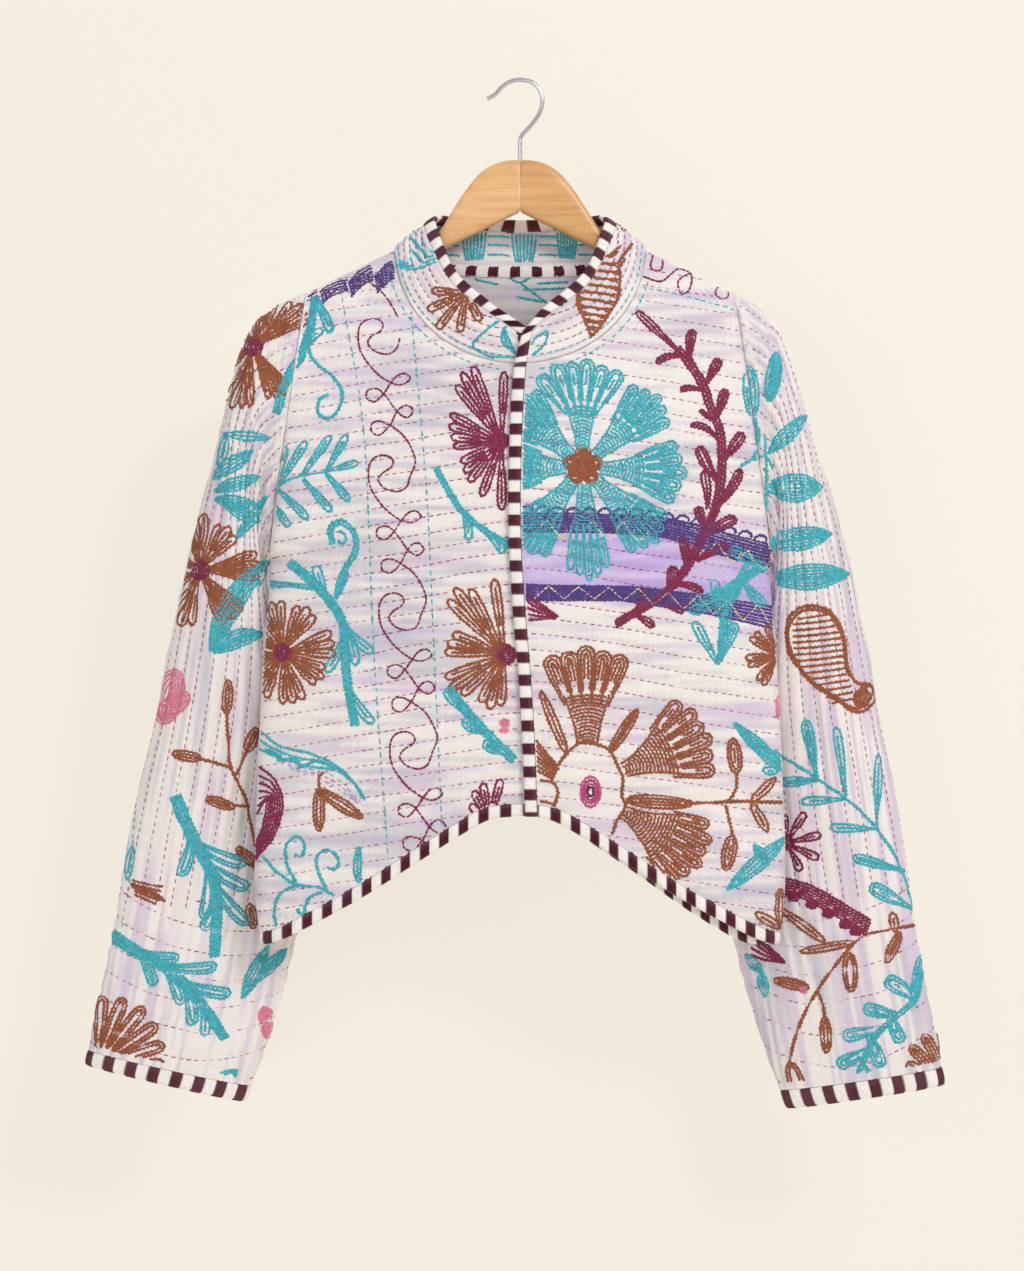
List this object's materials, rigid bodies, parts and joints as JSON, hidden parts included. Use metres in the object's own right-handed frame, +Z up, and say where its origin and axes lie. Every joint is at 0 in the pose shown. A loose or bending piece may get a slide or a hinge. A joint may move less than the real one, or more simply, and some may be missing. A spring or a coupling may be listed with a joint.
{
  "type": "kantha jacket on a hanger",
  "caption": "Quilted and embroidered kantha jacket with a stand collar, open front, arched hem and long sleeves, on a wooden hanger with a wire hook.",
  "frame": {"origin": "underside of the hook's crown, where a rail or peg carries the hanger", "axes": "+Z up, +X towards the jacket's left sleeve (the viewer's right), the front faces -Y"},
  "size_m": [0.6879, 0.1277, 0.8274],
  "materials": {
    "quilted_cotton": "off-white slub cotton, quilted with running stitch and embroidered",
    "striped_binding": "white tape crossed by dark red satin stitch blocks",
    "wood": "light varnished hardwood",
    "steel_wire": "bright plated wire"
  },
  "bodies": {
    "root": {"front_right": "quilted_cotton", "front_left": "quilted_cotton", "back": "quilted_cotton", "sleeve_right": "quilted_cotton", "sleeve_left": "quilted_cotton", "collar": "quilted_cotton", "binding_front_right": "striped_binding", "binding_front_left": "striped_binding", "binding_hem_right": "striped_binding", "binding_hem_left": "striped_binding", "binding_hem_back": "striped_binding", "binding_collar": "striped_binding", "binding_neck_inside": "striped_binding", "binding_cuff_right": "striped_binding", "binding_cuff_left": "striped_binding", "hanger_arm_right": "wood", "hanger_arm_left": "wood", "hanger_hook": "steel_wire"}
  },
  "joints": []
}
